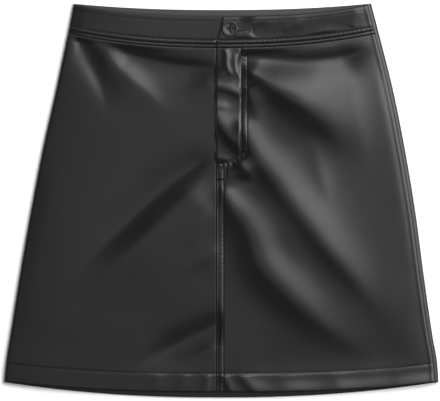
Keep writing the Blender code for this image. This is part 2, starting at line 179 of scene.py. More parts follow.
# folds that run from seam to seam
FLY_FOLDS = (
    Fold(((3, 176), (6, 166), (6, 155), (9, 147), (15, 140)), 1.3, 4, 4.5, 0.8, 0.02, 0.7),
    Fold(((24, 170), (18, 163), (16.5, 155), (17.5, 147), (21, 141)), 1.3, 3.5, 4, 0.8, 0.05, 0.8),
    Fold(((-8, 146), (0, 145), (8, 143)), 0.8, 5, 4, 1.0, 0.01, 0.5),
    Fold(((-8, 131), (3, 128), (12, 125), (26, 119)), 1.8, 8, 5, 1.0, 0.01, 0.9),
    Fold(((-8, 108), (3, 107), (12, 106)), 0.7, 7, 4, 1.0, 0.01, 0.4),
    Fold(((-24, 110), (-8, 97), (5, 79), (13, 69), (26, 57)), 3.0, 14, 8, 0.8, 0.02, 0.9),
    Fold(((-8, 50), (0, 48), (9, 45)), 1.0, 5, 4, 0.8, 0.05, 0.7),
)
HEM_FOLDS = tuple(Fold(*values, 0.9, 0.05, 0.95) for values in (
    (((-2, -192), (6, -206), (14, -224)), 1.2, 7, 5),
    (((16, -192), (28, -206), (44, -224)), 1.2, 9, 6),
    (((-16, -192), (-17, -224)), 0.9, 5, 7),
    (((-42, -192), (-43, -224)), 0.8, 8, 8),
    (((-72, -192), (-74, -224)), 0.8, 7, 10),
    (((70, -192), (76, -224)), 0.8, 20, 14),
    (((128, -192), (136, -224)), 0.7, 16, 12),
    (((200, -192), (206, -224)), 0.3, 14, 12),
))
BAND_FOLDS = (
    Fold(((12, 187), (24, 187), (40, 188)), 0.7, 6, 4, 0.8, 0.2, 0.6),
    Fold(((34, 186), (42, 195), (52, 204)), -0.6, 5, 8, 0.8, 0.2, 0.6),
    Fold(((66, 192), (82, 200), (100, 206)), 0.6, 7, 7, 0.8, 0.3, 0.6),
    Fold(((94, 184), (114, 187), (138, 195)), 1.0, 7, 6, 0.8, 0.3, 0.6),
    Fold(((148, 196), (151, 206), (155, 218)), 0.5, 6, 6, 0.9, 0.2, 0.8),
)
LEFT_REACH = 10.0  # how far the left front's folds reach past the centre seam
SIDE_CALM = 17.0  # the large folds end over this width at the sides,
WAIST_CALM = 8.0  # at the waist seam
HEM_CALM = 40.0  # and at the hem, where
HEM_SHARE = 0.5  # this share of their height is left
SMALL_SIDE_CALM = 8.0  # the small folds end over this width at the sides
SMALL_WAIST_CALM = 5.0  # and at the waist seam
FLY_ROW_CALM = 3.0  # the fly's folds end over this width at its inner row
FLY_FOOT_CALM = 8.0  # and at its foot
HEM_ROW_CALM = 4.0  # the hem's folds end over this width at its stitch line
BAND_ROW_CALM = 4.0  # and the waistband's at its upper row
END_TAPER = 0.45  # how much narrower a fold is where it ends
FOLD_GROWTH = 0.4  # share of its path that a fold grows over
FOLD_POWER = 1.5  # below 2, a fold's crest is sharper than its foot
FOLD_STEPS = 32
STEP_BLEND = 2.5  # how softly the steps along a path blend
CREST = 0.1  # rounding of a fold's crest, as a share
# how high an edge on the right stands up, from how far in, over what depth, from which X, how softly
Swell = namedtuple("Swell", "height inset rise start blend")
BAND_SWELL = Swell(2.0, 0.0, 26.0, 20.0, 20.0)
HEM_SWELL = Swell(1.8, 7.0, 15.0, 20.0, 40.0)
HEM_LAYER = 0.25  # how much fuller the hem's double layer is
HEM_LAYER_RISE = 3.0

# -------- stitching

PITCH = 3.6
STITCH_SHARE = 0.74  # length of a stitch as a share of the pitch
THREAD_RADIUS = 0.36
THREAD_SINK = 0.8  # how deep the thread lies, as a share of the groove
STITCH_SEED = 7
STITCH_DRIFT = 0.08  # spread of the stitches' places,
STITCH_TWIST = 0.05  # of their slant
STITCH_LENGTHS = (0.93, 1.05)  # and of their lengths, as shares
# a stitch: place along it, size of the ring there and height of the ring's middle, as shares
STITCH_RINGS = (
    (-1.0, 0.25, -0.9), (-0.8, 0.85, -0.2), (0.0, 1.0, 0.25), (0.8, 0.85, -0.2), (1.0, 0.25, -0.9),
)
STITCH_SIDES = 6
GROOVE_DEPTH = 0.3
GROOVE_WIDTH = 0.9
DIMPLE = 0.2  # sway of the groove's depth from hole to hole, as a share
LOWER_ROW = 3.2  # waistband rows above the waist seam
UPPER_ROW = 9.0
UPPER_SHIFT = 1.5  # how far its needle holes lie beside the lower row's
TOP_ROW = 6.0  # and below the top edge
TOP_ROW_SHARE = 0.6  # how deep, as a share of the others
FACING_ROW = 1.9  # row below the back's top edge, inside
CENTRE_ROWS = (-3.2, 2.4)
CENTRE_START = 4.0  # they start this far below the fly's foot
CENTRE_FADE = 3.0

# the J of the fly: straight down from the waist, then round its bend
FLY_INNER = 22.8
FLY_OUTER = 29.4
FLY_BEND = ((22.8, 62), (22.6, 57), (20.5, 52), (16, 47.5), (10, 44), (3, 43), (-6, 43))
FLY_OUTER_BEND = ((29.4, 62), (29, 56), (26.5, 50), (22, 45), (17, 40.5), (11, 37.3), (4, 36.5), (-6, 36.5))
FLY_HEIGHTS = range(172, 66, -5)
BEND_POINTS = 26
FLY_LOWEST = 34.0
FLY_MARGIN = 4.0  # the relief of the fly ends this far beyond its width
FACING_MARGIN = 6.0  # and its double layer this far within

# a puffed strip between two rows of stitches
Puff = namedtuple("Puff", "half_width height uneven")
FLY_PUFF = Puff(3.3, 0.3, 0.5)
CENTRE_PUFF = Puff(2.8, 0.2, 0.5)
WAIST_PUFF = Puff(2.9, 1.0, 0.05)
PUFF_PITCH = 5.4  # how often a strip puffs up
PUFF_START = 400.0  # puffs are counted from this far off the middle
Sway = namedtuple("Sway", "size length")
PITCH_SWAY = Sway(0.12, 11.0)
HEIGHT_SWAY = Sway(0.4, 17.0)

# how an edge rolls down over the last of its width
Rim = namedtuple("Rim", "depth reach")
FREE_RIM = Rim(0.8, 1.8)
CENTRE_RIM = Rim(0.12, 0.8)
HEM_RIM = Rim(0.7, 2.0)
SEAM_RIM = Rim(0.5, 1.4)
TOP_RIM = Rim(0.8, 2.2)
TOP_ROLL = Rim(0.9, 8.0)

SLIT = ((18.0, 192.6), (32.0, 193.2))  # ends of the buttonhole
SLIT_DEPTH = 1.1
SLIT_WIDTH = 0.55
CORD_HEIGHT = 0.3  # the cord round the buttonhole
CORD_OFFSET = 1.5
CORD_WIDTH = 0.8
RIDGE_HEIGHT = 0.35  # the ridge beside the right side seam
RIDGE_OFFSET = 2.5
RIDGE_WIDTH = 2.2
BARTACKS = (((-6.0, 24.0), (4.5, 24.0)), ((-5.5, 43.0), (4.0, 43.0)), ((20.0, 55.2), (24.6, 55.4)),
            ((26.4, 56.2), (29.6, 56.4)))
BAND_LEVEL = 195.0  # the waistband's rows end at the sides as they are at this Y
HEM_LEVEL = -195.0  # and the hem's at this one
RIGHT_INSET = 6.0  # rows end this far within the right side
CENTRE_ROW_END = -218.0
TACK_OFFSET = 0.4  # a bar tack is two bars, this far beside its middle
TACK_LIFT = 0.1
TACK_RADIUS = 0.55

# -------- grids of the leather sheets

# columns or rows in three zones, and the widths of the first and of the last zone
Spacing = namedtuple("Spacing", "counts near far")
FRONT_LEFT_ACROSS = Spacing((2, 84, 22), 4.0, 22.0)
FRONT_LEFT_UP = Spacing((30, 150, 16), 30.0, 16.0)
FRONT_RIGHT_ACROSS = Spacing((84, 60, 10), 42.0, 9.0)
FRONT_RIGHT_UP = Spacing((28, 220, 18), 30.0, 16.0)
BACK_UP = Spacing((12, 90, 6), 26.0, 10.0)
BAND_LEFT_ACROSS = Spacing((2, 290, 60), 3.0, 40.0)
BAND_RIGHT_ACROSS = Spacing((76, 220, 10), 38.0, 9.0)
BAND_UP = Spacing((28, 12, 18), 11.0, 9.0)
BAND_BACK_UP = Spacing((8, 10, 14), 10.0, 14.0)
TURN = 9  # columns in a quarter turn at a side
STRIP_COLUMNS = 3  # columns between the right turn and the side seam
BACK_FLAT = 24  # columns across the flat of the back
TURN_START = 0.4  # height of a turn's second point
SETTLE_ROUNDS = 5
RIM_WIDTH = 0.45  # rounding of each sheet's rims
RIM_STEPS = 3
RIM_ANGLE = 55.0  # degrees from which a corner is rounded

FACING_COLUMNS = 241
FACING_ROWS = 29
FACING_WALL = 0.3
FACING_LIFT = 0.15
FACING_DEPTH = 14.0  # how far down it is built
FACING_TOP = 0.3  # and how far below the back's top edge it starts
FACING_CREST = 1.2  # height of its soft roll
CREST_START = 5.0  # the roll starts this far below the front's top edge
CREST_RISE = 6.0
CREST_FALL = 1.0  # and falls again from this far below it


def ease(share):
    """A soft step from 0 to 1."""
    share = np.clip(share, 0.0, 1.0)
    return share * share * (3.0 - 2.0 * share)


def line_height(line, x):
    return line.middle + line.rise * np.abs(x / line.reach) ** line.power


def waist_seam(x):
    return line_height(WAIST_SEAM, x)


def front_top(x):
    return line_height(FRONT_TOP, x)


def front_hem(x):
    return line_height(FRONT_HEM, x)


def smooth_path(points, count):
    """Points along a smooth curve through others."""
    points = np.array(points, float)
    padded = np.vstack([2 * points[0] - points[1], points, 2 * points[-1] - points[-2]])
    place = np.linspace(0.0, len(points) - 1.0, count)
    span = np.minimum(place.astype(int), len(points) - 2)
    t = (place - span)[:, None]
    before, start, end, after = (padded[span + k] for k in range(4))
    return 0.5 * (2 * start + (end - before) * t
                  + (2 * before - 5 * start + 4 * end - after) * t ** 2
                  + (3 * start - before - 3 * end + after) * t ** 3)


SIDE_CURVE = smooth_path(SIDES, SIDE_STEPS)[::-1]


def left_side(y):
    return np.interp(y, SIDE_CURVE[:, 0], SIDE_CURVE[:, 1])


def right_side(y):
    return np.interp(y, SIDE_CURVE[:, 0], SIDE_CURVE[:, 2])


def right_seam(y):
    return right_side(y) - SIDE_SEAM_INSET


def centre(y):
    return CENTRE_LINE + 0.0 * y


def near_path(path, x, y):
    """Distance from each point to a path, how far along it that is, and on which hand."""
    nearest = np.full(x.shape, np.inf)
    along = np.zeros(x.shape)
    hand = np.zeros(x.shape)
    steps = len(path) - 1
    for step in range(steps):
        start = path[step]
        stride = path[step + 1] - start
        share = ((x - start[0]) * stride[0] + (y - start[1]) * stride[1]) / stride.dot(stride)
        share = np.clip(share, 0.0, 1.0)
        dx = x - start[0] - share * stride[0]
        dy = y - start[1] - share * stride[1]
        distance = np.hypot(dx, dy)
        closer = distance < nearest
        nearest = np.where(closer, distance, nearest)
        along = np.where(closer, (step + share) / steps, along)
        hand = np.where(closer, stride[0] * dy - stride[1] * dx, hand)
    return nearest, along, hand


def fold_height(fold, x, y):
    """Height of one fold over the points x, y."""
    path = smooth_path(fold.path, FOLD_STEPS + 1)
    strides = np.diff(path, axis=0)
    lengths = np.hypot(strides[:, 0], strides[:, 1])
    dx = x[..., None] - path[:-1, 0]
    dy = y[..., None] - path[:-1, 1]
    share = np.clip((dx * strides[:, 0] + dy * strides[:, 1]) / lengths ** 2, 0.0, 1.0)
    distance = np.hypot(dx - share * strides[:, 0], dy - share * strides[:, 1])
    nearest = distance.min(axis=-1)
    pull = np.exp((nearest[..., None] - distance) / STEP_BLEND)
    along = (pull * (np.arange(FOLD_STEPS) + share)).sum(axis=-1) / pull.sum(axis=-1) / FOLD_STEPS
    cross = strides[:, 0] * dy - strides[:, 1] * dx
    hand = np.take_along_axis(cross, distance.argmin(axis=-1)[..., None], axis=-1)[..., 0]
    ahead = (dx[..., 0] * strides[0, 0] + dy[..., 0] * strides[0, 1]) / lengths[0]

    width = np.where(hand > 0, fold.left, fold.right)
    dying = ease((along - fold.fade) / (1.0 - fold.fade))
    grown = fold.tip + (1.0 - fold.tip) * ease(along / FOLD_GROWTH)
    width = width * grown * (1.0 - END_TAPER * dying)
    profile = np.exp(-(np.hypot(nearest / width, CREST) - CREST) ** FOLD_POWER)
    risen = ease(ahead / (fold.rise * lengths.sum()))
    return fold.height * grown * risen * (1.0 - dying) * profile


def folds_height(folds, x, y):
    return sum(fold_height(fold, x, y) for fold in folds)


def inset(x, y):
    """How far a point lies within the nearer side."""
    return np.minimum(x - left_side(y), right_side(y) - x)


def front_height(x, y):
    """Height of the fronts with their large folds."""
    left, right = left_side(y), right_side(y)
    half = (right - left) / 2
    off_middle = np.abs(x - (left + right) / 2)
    inside = half - off_middle
    power = np.where(x > (left + right) / 2, DOME_POWER_RIGHT, DOME_POWER)
    dome = DOME * (1.0 - np.clip(off_middle / half, 0.0, 1.0) ** power)
    beside = 1.0 - ease((x - CENTRE_LINE) / LEFT_REACH)
    folds = folds_height(RIGHT_FOLDS + HOLLOWS, x, y) + beside * folds_height(LEFT_FOLDS, x, y)
    below_waist = waist_seam(x) - y
    above_hem = y - front_hem(x)
    calm = ease(inside / SIDE_CALM) * ease(below_waist / WAIST_CALM)
    calm = calm * (HEM_SHARE + (1.0 - HEM_SHARE) * ease(above_hem / HEM_CALM))
    return 2 * ROLL + dome + folds * calm


def small_relief(x, y):
    """Small folds of the fronts, of the fly and of the hem."""
    inside = inset(x, y)
    above_hem = y - front_hem(x)
    calm = ease(inside / SMALL_SIDE_CALM) * ease((waist_seam(x) - y) / SMALL_WAIST_CALM)
    in_fly = ease((FLY_INNER - x) / FLY_ROW_CALM) * ease((y - FLY_FOOT) / FLY_FOOT_CALM)
    in_fly = in_fly * (x > CENTRE_LINE - 0.5)
    in_hem = ease((HEM_DEPTH - above_hem) / HEM_ROW_CALM)
    relief = calm * folds_height(SMALL_FOLDS, x, y)
    relief = relief + in_fly * calm * folds_height(FLY_FOLDS, x, y)
    return relief + in_hem * folds_height(HEM_FOLDS, x, y)


def overlap_rise(x, rise):
    """How far the overlap stands up, less and less to the right."""
    return rise * (1.0 - ease((x - CENTRE_LINE) / OVERLAP_REACH))


def swollen(swell, depth, x):
    return swell.height * ease((depth - swell.inset) / swell.rise) * ease((x - swell.start) / swell.blend)


def step_down(x):
    """How far the left pieces have sunk towards the overlap, as a share."""
    return ease((x - STEP_START) / (STEP_END - STEP_START))


def band_height(x, y):
    inside = inset(x, y)
    return front_height(x, y) + BAND_LIFT * ease(inside / SIDE_CALM)


def right_band_height(x, y):
    above_rows = y - waist_seam(x) - UPPER_ROW
    folds = folds_height(BAND_FOLDS, x, y) * ease(above_rows / BAND_ROW_CALM)
    return band_height(x, y) + overlap_rise(x, BAND_RISE) + folds + swollen(BAND_SWELL, above_rows, x)


def left_band_height(x, y):
    """The left waistband, which sinks below the overlap."""
    under = DOUBLE_WALL + SEAM_GAP - overlap_rise(x, BAND_RISE)
    return band_height(x, y) - under * step_down(x)


def right_front_height(x, y):
    return front_height(x, y) + small_relief(x, y) + overlap_rise(x, PANEL_RISE)


def left_front_height(x, y):
    return front_height(x, y) + small_relief(x, y) - PANEL_STEP * step_down(x)


# -------- stitched seams in the surfaces

def bump(distance, width):
    """A soft ridge that is 1 high along its middle."""
    return np.exp(-(distance / width) ** 2)


def stitch_row(distance, along):
    """A sewn groove with a dimple at each needle hole."""
    dimples = 1.0 - DIMPLE + DIMPLE * np.cos(2.0 * math.pi * along / PITCH)
    return -GROOVE_DEPTH * bump(distance, GROOVE_WIDTH) * dimples


def puffed(distance, along, puff):
    """A puffed strip between two rows of stitches."""
    beat = np.cos(2 * math.pi * (along / PUFF_PITCH + PITCH_SWAY.size * np.sin(along / PITCH_SWAY.length)))
    sway = 1.0 + HEIGHT_SWAY.size * np.sin(along / HEIGHT_SWAY.length)
    beat = 1.0 - puff.uneven + puff.uneven * beat * sway
    return puff.height * np.clip(1.0 - (distance / puff.half_width) ** 2, 0.0, 1.0) * beat


def fly_path(bend, x):
    """A row of the fly, straight down at x and then round the bend."""
    straight = [(x, y) for y in FLY_HEIGHTS]
    return np.vstack([straight, smooth_path(bend, BEND_POINTS)])


FLY_ROWS = (fly_path(FLY_BEND, FLY_INNER), fly_path(FLY_OUTER_BEND, FLY_OUTER))


def path_lengths(path):
    """Length along a path at each of its points."""
    steps = np.hypot(*np.diff(path, axis=0).T)
    return np.append(0.0, np.cumsum(steps))


def along_path(path, x, y):
    """Distance from a path, length along it and on which hand."""
    nearest, along, hand = near_path(path, x, y)
    lengths = path_lengths(path)
    return nearest, np.interp(along * (len(path) - 1), np.arange(len(path)), lengths), hand


def fly_relief(x, y):
    """Double stitched J of the fly, with a puffed strip between its rows."""
    inner, inner_along, inner_hand = along_path(FLY_ROWS[0], x, y)
    outer, outer_along, outer_hand = along_path(FLY_ROWS[1], x, y)
    relief = stitch_row(inner, inner_along) + stitch_row(outer, outer_along)
    between = (inner_hand > 0) & (outer_hand < 0) & (y > FLY_LOWEST)
    middle = np.abs(inner - outer) / 2
    strip = puffed(middle, inner_along, FLY_PUFF)
    return np.where(x < FLY_WIDTH + FLY_MARGIN, relief + np.where(between, strip, 0.0), 0.0)


def centre_relief(x, y):
    """The double stitched centre front seam below the fly."""
    fade = ease((FLY_FOOT - CENTRE_START - y) / CENTRE_FADE)
    first, second = CENTRE_ROWS
    strip = puffed(np.abs(x - (first + second) / 2), y + PUFF_START, CENTRE_PUFF)
    rows = stitch_row(np.abs(x - first), y) + stitch_row(np.abs(x - second), y + PITCH / 2)
    return fade * (rows + strip)


def hem_relief(x, y, line):
    """The hem's stitch line, its slightly fuller double layer and its swell on the right."""
    above = y - line_height(line, x) - HEM_DEPTH
    groove = stitch_row(np.abs(above), x)
    layer = HEM_LAYER * ease(-above / HEM_LAYER_RISE)
    return groove + layer + swollen(HEM_SWELL, -above, x)


def waist_relief(x, y):
    """The waistband's rows, with a puffed strip between the two lower ones."""
    above = y - waist_seam(x)
    below_top = front_top(x) - y
    rows = stitch_row(np.abs(above - LOWER_ROW), x) + stitch_row(np.abs(above - UPPER_ROW), x + UPPER_SHIFT)
    rows = rows + TOP_ROW_SHARE * stitch_row(np.abs(below_top - TOP_ROW), x)
    strip = puffed(np.abs(above - (LOWER_ROW + UPPER_ROW) / 2), x + PUFF_START, WAIST_PUFF)
    return rows + strip


def rolled_edge(distance, rim):
    """How far an edge has rolled down."""
    return -rim.depth * np.clip(1.0 - distance / rim.reach, 0.0, 1.0) ** 2


def slit_relief(x, y):
    """The buttonhole: a slit with a corded edge."""
    nearest, _, _ = near_path(np.array(SLIT), x, y)
    return CORD_HEIGHT * bump(nearest - CORD_OFFSET, CORD_WIDTH) - SLIT_DEPTH * bump(nearest, SLIT_WIDTH)


def side_relief(x, y):
    """The right side seam's soft ridge on the front."""
    inside = right_seam(y) - x
    return RIDGE_HEIGHT * bump(inside - RIDGE_OFFSET, RIDGE_WIDTH)


# -------- meshes

def shell(name, node, points, leather, side, double=None):
    """A sheet of leather that takes the place of a node."""
    piece = grid_mesh(name, *points, leather, DOUBLE_WALL, side, double)
    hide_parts(node)
    return piece


def zones(index, spacing, low, high):
    """Values from low to high, spaced differently in three zones."""
    first, second, third = spacing.counts
    start = spacing.near * np.clip(index / first, 0.0, 1.0)
    middle = (high - spacing.far - low - spacing.near) * np.clip((index - first) / second, 0.0, 1.0)
    end = spacing.far * np.clip((index - first - second) / third, 0.0, 1.0)
    return low + start + middle + end


def settle(across, heights, shape):
    """X and Y of grid points whose row depends on X and whose column depends on Y."""
    x = np.zeros(shape)
    for _ in range(SETTLE_ROUNDS):
        y = heights(x)
        x = across(y)
    return x, y


def new_object(name, data):
    made = bpy.data.objects.new(name, data)
    bpy.context.scene.collection.objects.link(made)
    return made


def grid_mesh(name, x, y, z, material, wall, side, double=None):
    """A leather sheet through a grid of points, with its wall on one side and rounded rims.

    Where double is given, the wall is only that thick there, and single elsewhere.
    """
    rows, columns = x.shape
    points = np.column_stack([x.ravel(), y.ravel(), z.ravel()]) * MM
    corner = (np.arange(rows - 1)[:, None] * columns + np.arange(columns - 1)[None, :]).ravel()
    faces = np.column_stack([corner, corner + 1, corner + columns + 1, corner + columns])
    mesh = bpy.data.meshes.new(name)
    mesh.from_pydata(points.tolist(), [], faces.tolist())
    mesh.polygons.foreach_set("use_smooth", [True] * len(mesh.polygons))
    mesh.materials.append(material)
    sheet = new_object(name, mesh)
    solid = sheet.modifiers.new("wall", "SOLIDIFY")
    solid.thickness = wall * MM
    solid.offset = side
    solid.use_even_offset = True
    solid.use_quality_normals = True
    if double is not None:
        group = sheet.vertex_groups.new(name="double layer")
        for index in np.flatnonzero(double.ravel()):
            group.add([int(index)], 1.0, "REPLACE")
        solid.vertex_group = group.name
        solid.thickness_vertex_group = WALL / DOUBLE_WALL
    rim = sheet.modifiers.new("rim", "BEVEL")
    rim.width = RIM_WIDTH * MM
    rim.segments = RIM_STEPS
    rim.limit_method = "ANGLE"
    rim.angle_limit = math.radians(RIM_ANGLE)
    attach(sheet, "root")
    return sheet


def quarter_turn():
    """Insets and rises of a side's quarter turn, from its rim."""
    angles = np.radians(np.linspace(0.0, 90.0, TURN))
    insets = np.append(0.0, ROLL * (1.0 - np.cos(angles)))
    rises = np.append(SEAM_GAP / 2, ROLL * np.sin(angles))
    rises[1] = TURN_START
    return insets, rises


def blend_turn(turned, top):
    """A turn's height, which comes to meet the top beside it."""
    return turned + (top - 2 * ROLL) * ease(turned / ROLL - 1.0)


def left_columns(index, spacing, end):
    """Where the columns of a left piece lie, from its turn."""
    insets, rises = quarter_turn()
    step = np.minimum(index, TURN)
    turning = index < TURN

    def across(y):
        start = left_side(y) + ROLL
        flat = zones(np.maximum(index - TURN, 0), spacing, start, end)
        return np.where(turning, left_side(y) + insets[step], flat)

    def height(top):
        return np.where(turning, blend_turn(ROLL + rises[step], top), top)
    return across, height


def right_columns(index, spacing, start):
    """Where the columns of a right piece lie."""
    return lambda y: zones(index, spacing, start(y), right_seam(y) - SEAM_GAP / 2)


def rows_between(index, spacing, low_line, high_line, gap=0.0):
    """Where the rows lie between two lines."""
    return lambda x: zones(index, spacing, line_height(low_line, x), line_height(high_line, x) - gap)


def panel_rims(x, y):
    hem_rim = rolled_edge(y - front_hem(x), HEM_RIM)
    return hem_rim + rolled_edge(waist_seam(x) - SEAM_GAP - y, SEAM_RIM)


def band_rims(x, y):
    top_rim = rolled_edge(front_top(x) - y, TOP_RIM)
    return top_rim + rolled_edge(y - waist_seam(x), SEAM_RIM)


def grid(across, up, first_columns=0):
    """Row and column of each point of a grid with these spacings."""
    rows, columns = sum(up.counts) + 1, first_columns + sum(across.counts) + 1
    return np.mgrid[0:rows, 0:columns]


def make_front_left(leather):
    row, column = grid(FRONT_LEFT_ACROSS, FRONT_LEFT_UP, TURN)
    across, height = left_columns(column, FRONT_LEFT_ACROSS, CENTRE_LINE - SEAM_GAP)
    up = rows_between(row, FRONT_LEFT_UP, FRONT_HEM, WAIST_SEAM, SEAM_GAP)
    x, y = settle(across, up, row.shape)
    top = left_front_height(x, y) + hem_relief(x, y, FRONT_HEM)
    top = top + rolled_edge(CENTRE_LINE - x, CENTRE_RIM) + panel_rims(x, y)
    hem = y < front_hem(x) + HEM_DEPTH
    return shell("shell_front_left", "front_left", (x, y, height(top)), leather, -1, hem)


def make_front_right(leather):
    row, column = grid(FRONT_RIGHT_ACROSS, FRONT_RIGHT_UP)
    across = right_columns(column, FRONT_RIGHT_ACROSS, centre)
    up = rows_between(row, FRONT_RIGHT_UP, FRONT_HEM, WAIST_SEAM, SEAM_GAP)
    x, y = settle(across, up, row.shape)
    top = right_front_height(x, y) + hem_relief(x, y, FRONT_HEM)
    top = top + fly_relief(x, y) + centre_relief(x, y) + side_relief(x, y)
    top = top + rolled_edge(x - CENTRE_LINE, FREE_RIM) + panel_rims(x, y)
    hem = y < front_hem(x) + HEM_DEPTH
    double = hem | ((x < FLY_WIDTH - FACING_MARGIN) & (y > FLY_FOOT))
    return shell("shell_front_right", "front_right", (x, y, top), leather, -1, double)


def around_back(column):
    """Where the columns of a back piece lie: left turn, flat, right turn, strip up to the seam."""
    left_in, left_rise = quarter_turn()
    angles = np.radians(np.linspace(-90.0, 90.0, 2 * TURN + 1))
    right_in, right_height = ROLL * (1.0 - np.cos(angles)), ROLL * (1.0 + np.sin(angles))
    last_flat = TURN + BACK_FLAT
    last_turn = last_flat + 2 * TURN
    on_left = column <= TURN
    on_flat = (column > TURN) & (column < last_flat)
    on_right = (column >= last_flat) & (column <= last_turn)
    left_step = np.minimum(column, TURN)
    right_step = np.clip(column - last_flat, 0, 2 * TURN)
    flat_share = (column - TURN) / BACK_FLAT
    strip_share = (column - last_turn) / STRIP_COLUMNS

    def across(y):
        left, right = left_side(y), right_side(y)
        flat_start, flat_end = left + ROLL, right - ROLL
        seam = right_seam(y) + SEAM_GAP / 2
        return np.select(
            [on_left, on_flat, on_right],
            [left + left_in[left_step],
             flat_start + (flat_end - flat_start) * flat_share,
             right - right_in[right_step]],
            flat_end + (seam - flat_end) * strip_share)

    def height(top):
        return np.select(
            [on_left, on_flat, on_right],
            [ROLL - left_rise[left_step], 0.0, blend_turn(right_height[right_step], top)], top)
    return across, height


def back_grid(spacing, low_line, high_line, gap):
    """Points of a back piece, and the function that gives their height."""
    rows = sum(spacing.counts) + 1
    columns = BACK_FLAT + 3 * TURN + STRIP_COLUMNS + 1
    row, column = np.mgrid[0:rows, 0:columns]
    across, height = around_back(column)
    return *settle(across, rows_between(row, spacing, low_line, high_line, gap), row.shape), height


def make_back(leather):
    x, y, height = back_grid(BACK_UP, BACK_HEM, WAIST_SEAM, SEAM_GAP)
    hem = y < line_height(BACK_HEM, x) + HEM_DEPTH
    return shell("shell_back", "back_panel", (x, y, height(front_height(x, y))), leather, 1, hem)


def make_band_left(leather):
    row, column = grid(BAND_LEFT_ACROSS, BAND_UP, TURN)
    across, height = left_columns(column, BAND_LEFT_ACROSS, UNDERLAP_END)
    x, y = settle(across, rows_between(row, BAND_UP, WAIST_SEAM, FRONT_TOP), row.shape)
    shown = ease((CENTRE_LINE + 2.0 - x) / 4.0)
    top = left_band_height(x, y) + waist_relief(x, y) * shown + band_rims(x, y)
    return shell("shell_waistband_front_left", "waistband_front_left", (x, y, height(top)), leather, -1)


def overlap_end(y):
    """X of the right waistband's free end, which leans and has a rounded corner."""
    seam, top = waist_seam(CENTRE_LINE), front_top(CENTRE_LINE)
    lean = CENTRE_LINE + (OVERLAP_TOP - CENTRE_LINE) * ease((y - seam) / (top - seam))
    corner = np.clip((y - top + OVERLAP_CORNER) / OVERLAP_CORNER, 0.0, 1.0)
    return lean + OVERLAP_CORNER * (1.0 - np.sqrt(1.0 - corner ** 2)) * CORNER_SHARE


def make_band_right(leather):
    row, column = grid(BAND_RIGHT_ACROSS, BAND_UP)
    across = right_columns(column, BAND_RIGHT_ACROSS, overlap_end)
    x, y = settle(across, rows_between(row, BAND_UP, WAIST_SEAM, FRONT_TOP), row.shape)
    top = right_band_height(x, y) + waist_relief(x, y) + side_relief(x, y) + slit_relief(x, y)
    top = top + rolled_edge(x - overlap_end(y), FREE_RIM) + band_rims(x, y)
    top = top + rolled_edge(front_top(x) - y, TOP_ROLL)
    return shell("shell_waistband_front_right", "waistband_front_right", (x, y, top), leather, -1)


def make_band_back(leather):
    x, y, height = back_grid(BAND_BACK_UP, WAIST_SEAM, BACK_TOP, 0.0)
    points = x, y, height(band_height(x, y))
    return shell("shell_waistband_back", "waistband_back", points, leather, 1)


def facing_height(x, y):
    """Inside face of the back waistband, rolled over towards its top edge."""
    above = y - front_top(x)
    room = line_height(BACK_TOP, x) - front_top(x)
    share = np.clip((above + CREST_FALL) / (room + CREST_FALL), 0.0, 1.0)
    risen = np.sin(math.pi * np.clip((above + CREST_START) / CREST_RISE, 0.0, 1.0) / 2)
    roll = FACING_CREST * risen * (1.0 - share ** 2)
    row = stitch_row(np.abs(line_height(BACK_TOP, x) - FACING_ROW - y), x)
    return DOUBLE_WALL + FACING_LIFT + FACING_WALL + roll + TOP_ROW_SHARE * row


def make_facing(material):
    row, column = np.mgrid[0:FACING_ROWS, 0:FACING_COLUMNS]

    def across(y):
        left, right = left_side(y) + 2 * ROLL, right_side(y) - 2 * ROLL
        return left + (right - left) * column / (FACING_COLUMNS - 1)

    def heights(x):
        high = line_height(BACK_TOP, x) - FACING_TOP
        return high - FACING_DEPTH * (1.0 - row / (FACING_ROWS - 1))
    x, y = settle(across, heights, row.shape)
    return grid_mesh("facing_waistband_back", x, y, facing_height(x, y), material, FACING_WALL, -1)


# -------- threads

def thread_mesh(name, runs, material, height):
    """The stitches of some runs as small rounded bars in one mesh."""
    noise = np.random.default_rng(STITCH_SEED)
    made = bmesh.new()
    for path in runs:
        path = np.array(path, float)
        lengths = path_lengths(path)
        count = int(lengths[-1] / PITCH)
        for number in range(count):
            middle = (number + 0.5) * PITCH + noise.normal(0.0, STITCH_DRIFT)
            half = PITCH * STITCH_SHARE / 2 * noise.uniform(*STITCH_LENGTHS)
            ends = [middle - half, middle, middle + half]
            xs = np.interp(ends, lengths, path[:, 0])
            ys = np.interp(ends, lengths, path[:, 1])
            zs = height(xs, ys) - GROOVE_DEPTH * THREAD_SINK
            add_stitch(made, xs, ys, zs, noise.normal(0.0, STITCH_TWIST))
    return link_thread(name, made, material)


def link_thread(name, made, material):
    """Made thread as a smooth object."""
    mesh = bpy.data.meshes.new(name)
    made.to_mesh(mesh)
    made.free()
    mesh.polygons.foreach_set("use_smooth", [True] * len(mesh.polygons))
    mesh.materials.append(material)
    threads = new_object(name, mesh)
    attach(threads, "root")
    return threads


